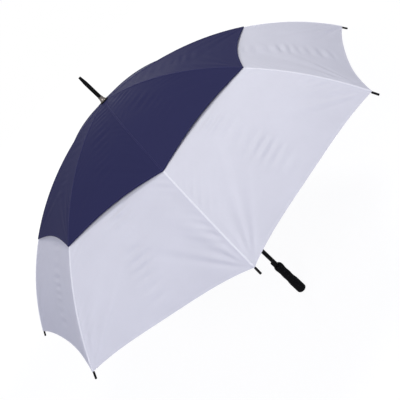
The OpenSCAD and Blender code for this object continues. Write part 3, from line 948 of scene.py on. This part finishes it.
class UMBRELLA_OT_stitching(bpy.types.Operator):
    """Stitches the hems and the seams"""

    bl_idname = "umbrella.stitching"
    bl_label = "Stitching"

    def execute(self, context):
        c, f = canopy(), finish()
        tree = stitch_nodes()
        threads = {
            "lower": thread_finish("white_thread", shade(f.white_cloth, 1.1)),
            "upper": thread_finish("navy_thread", shade(f.navy_cloth, 2.2)),
        }
        for name, thread in threads.items():
            layer = Layer(name)
            for rib, side, gore, low, high in half_gores():
                x = np.linspace(low, high, 60)
                s = layer.hem_at(x) - HEM_STITCH_PLACE * c.hem_width
                lift = layer.normal(gore, x, s) * (c.thickness / 2 + HEM_STITCH_LIFT)
                line = layer.surface(gore, x, s) + lift
                row = stitch(tree, f"{name}_hem_stitches_{rib + 1}{'a' if side > 0 else 'b'}", [line], thread)
                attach(row, rib_name(rib))
                fold_away(row, layer, layer.bands[-1], rib, side)
            for rib in range(RIBS):
                s = np.linspace(max(layer.start, 0.02) + SEAM_STITCH_GAP, layer.hem - SEAM_STITCH_GAP, 90)
                reach = SEAM_STITCH_PLACE * c.seam_width / layer.across(s)
                lines = [
                    layer.smooth(gore, x, s) + layer.smooth_normal(gore, x, s) * SEAM_STITCH_LIFT
                    for gore, x in ((rib, reach - 1), (rib - 1, 1 - reach))
                ]
                row = stitch(tree, f"{name}_seam_stitches_{rib + 1}", lines, thread)
                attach(row, rib_name(rib))
        return {"FINISHED"}


class UMBRELLA_OT_spring(bpy.types.Operator):
    """Winds the opening spring between the runner and the slider"""

    bl_idname = "umbrella.spring"
    bl_label = "Spring"

    def execute(self, context):
        low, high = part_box("spring")
        wire = 0.0007
        steel = metal_finish("spring_steel", finish().steel, 0.22, 0.4, False)
        spring = spring_nodes().grow(
            "spring_coil", [(0, 0, 0), (0, 0, 1)], [(0, 1)],
            Turns=15.0, Radius=high.x - wire, Base=low.z + wire, Height=high.z - low.z - 2 * wire,
            Wire=wire, Steel=steel,
        )
        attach(spring, "runner")
        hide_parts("spring")
        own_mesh(spring)
        return {"FINISHED"}


class UMBRELLA_OT_frame_finish(bpy.types.Operator):
    """Gives the frame, the ferrule and the grip their finishes"""

    bl_idname = "umbrella.frame_finish"
    bl_label = "Frame finishes"

    def execute(self, context):
        f = finish()
        dress(paint_finish("black_steel", shade(f.black, 1.2)), "shaft", *numbered("stretcher", "link"))
        dress(gloss_finish("black_gloss", f.black), "ferrule")
        dress(metal_finish("bright_metal", f.bright_metal, 0.24, 0.3, False), "ferrule_flare")
        moulded = ("washer", "crown", "runner", "slider", "button", "grip_cap")
        dress(plastic_finish("black_plastic", f.black), *moulded)
        dress(metal_finish("plain_steel", f.steel, 0.25, 0.45, True), "crown_pins", "crown_rivet", "stop_pin")
        dress(rubber_finish("grip_rubber", f.black), "grip")
        dress(rod_finish("rib_rod", shade(f.black, 1.3)), *numbered("rib"))
        return {"FINISHED"}


def area_lamp(name, place, width, power, colour):
    lamp = bpy.data.lights.new(name, "AREA")
    lamp.shape = "DISK"
    lamp.size = width
    lamp.energy = power
    lamp.color = colour
    lit = bpy.data.objects.new(name, lamp)
    lit.location = place
    lit.rotation_euler = (AIM - Vector(place)).to_track_quat("-Z", "Y").to_euler()
    lit.visible_camera = False
    bpy.context.scene.collection.objects.link(lit)


def white_seen(tree):
    """1 where a ray from the camera, or one that is mirrored or passes through, meets the stage."""
    path = tree.nodes.new("ShaderNodeLightPath").outputs
    rays = ("Is Camera Ray", "Is Glossy Ray", "Is Transmission Ray")
    camera, mirrored, through = (Wire(tree, path[ray]) for ray in rays)
    return camera.math("MAXIMUM", camera.math("MAXIMUM", camera, mirrored), through)


class UMBRELLA_OT_stage(bpy.types.Operator):
    """Sets the pale floor, the soft light and the camera"""

    bl_idname = "umbrella.stage"
    bl_label = "Stage"

    def execute(self, context):
        scene = context.scene
        scene.view_settings.view_transform = "Standard"
        self.floor()
        self.light(scene)
        self.camera(scene)
        return {"FINISHED"}

    def floor(self):
        low, half = CAD_BOX[0][2] - FLOOR_GAP, FLOOR_HALF
        corners = [(-half, -half, low), (half, -half, low), (half, half, low), (-half, half, low)]
        mesh = bpy.data.meshes.new("floor")
        mesh.from_pydata(corners, [], [(0, 1, 2, 3)])
        floor = bpy.data.objects.new("floor", mesh)
        bpy.context.scene.collection.objects.link(floor)
        made = Finish("floor", base_color=(0.88, 0.89, 0.95), roughness=0.9)
        glow = made.tree.nodes.new("ShaderNodeEmission")
        glow.inputs["Strength"].default_value = FLOOR_GLOW
        blend = made.tree.nodes.new("ShaderNodeMixShader")
        away = made.node("ShaderNodeVectorMath", {"operation": "LENGTH"}, "Value", vector=made.place)
        share = made.node(
            "ShaderNodeMapRange", {"interpolation_type": "SMOOTHSTEP"}, value=away,
            from_min=NEAR, from_max=FAR, to_min=GLOW_SHARE_NEAR, to_max=1.0,
        )
        seen = white_seen(made.tree) * share
        made.tree.links.new(seen.socket, blend.inputs[0])
        made.tree.links.new(made.shader.outputs[0], blend.inputs[1])
        made.tree.links.new(glow.outputs[0], blend.inputs[2])
        made.tree.links.new(blend.outputs[0], made.tree.nodes["Material Output"].inputs[0])
        mesh.materials.append(made.material)

    def light(self, scene):
        stage = scene.umbrella_stage
        world = bpy.data.worlds.new("studio")
        scene.world = world
        world.use_nodes = True
        tree = world.node_tree
        shine = tree.nodes["Background"]
        tint = tree.nodes.new("ShaderNodeMix")
        tint.data_type = "RGBA"
        tree.links.new(white_seen(tree).socket, tint.inputs["Factor"])
        tint.inputs[6].default_value = (*stage.fill, 1)
        tint.inputs[7].default_value = (1, 1, 1, 1)
        tree.links.new(tint.outputs[2], shine.inputs["Color"])
        for name, place, width, colour in LAMPS:
            area_lamp(name, place, width, getattr(stage, name), colour)

    def camera(self, scene):
        stage = scene.umbrella_stage
        a, e = stage.turn, stage.height
        back = Vector((math.sin(a) * math.cos(e), -math.cos(a) * math.cos(e), math.sin(e)))
        up = Vector((-math.sin(a) * math.sin(e), math.cos(a) * math.sin(e), math.cos(e)))
        right = up.cross(back)
        c, s = math.cos(stage.roll), math.sin(stage.roll)
        across, upward = right * c + up * s, up * c - right * s
        data = bpy.data.cameras.new("camera")
        data.lens = stage.lens
        data.sensor_width = 36.0
        data.clip_start, data.clip_end = 0.05, 100.0
        camera = bpy.data.objects.new("camera", data)
        apex = Vector((0, 0, canopy().apex_height))
        place = apex - across * stage.across - upward * stage.up + back * stage.distance
        turn = Matrix((across, upward, back)).transposed().to_4x4()
        camera.matrix_world = Matrix.Translation(place) @ turn
        scene.collection.objects.link(camera)
        scene.camera = camera


class UMBRELLA_PT_panel(bpy.types.Panel):
    """Lists the steps that dress the umbrella"""

    bl_idname = "UMBRELLA_PT_panel"
    bl_label = "Golf umbrella"
    bl_space_type = "VIEW_3D"
    bl_region_type = "UI"
    bl_category = "Umbrella"

    def draw(self, context):
        for step in STEPS:
            self.layout.operator(step.bl_idname)
        for group in GROUPS:
            box = self.layout.box()
            values = getattr(context.scene, group)
            for name in values.__annotations__:
                box.prop(values, name)


STEPS = (
    UMBRELLA_OT_stage,
    UMBRELLA_OT_lower_canopy,
    UMBRELLA_OT_upper_canopy,
    UMBRELLA_OT_seams,
    UMBRELLA_OT_stitching,
    UMBRELLA_OT_spring,
    UMBRELLA_OT_frame_finish,
)
GROUPS = {
    "umbrella_canopy": UmbrellaCanopy,
    "umbrella_finish": UmbrellaFinish,
    "umbrella_stage": UmbrellaStage,
}


def register():
    for cls in (*GROUPS.values(), *STEPS, UMBRELLA_PT_panel):
        bpy.utils.register_class(cls)
    for name, cls in GROUPS.items():
        setattr(bpy.types.Scene, name, bpy.props.PointerProperty(type=cls))


def unregister():
    for name in GROUPS:
        delattr(bpy.types.Scene, name)
    for cls in (UMBRELLA_PT_panel, *reversed(STEPS), *GROUPS.values()):
        bpy.utils.unregister_class(cls)


def main():
    register()
    for step in STEPS:
        group, name = step.bl_idname.split(".")
        getattr(getattr(bpy.ops, group), name)()


if __name__ == "__main__":
    main()
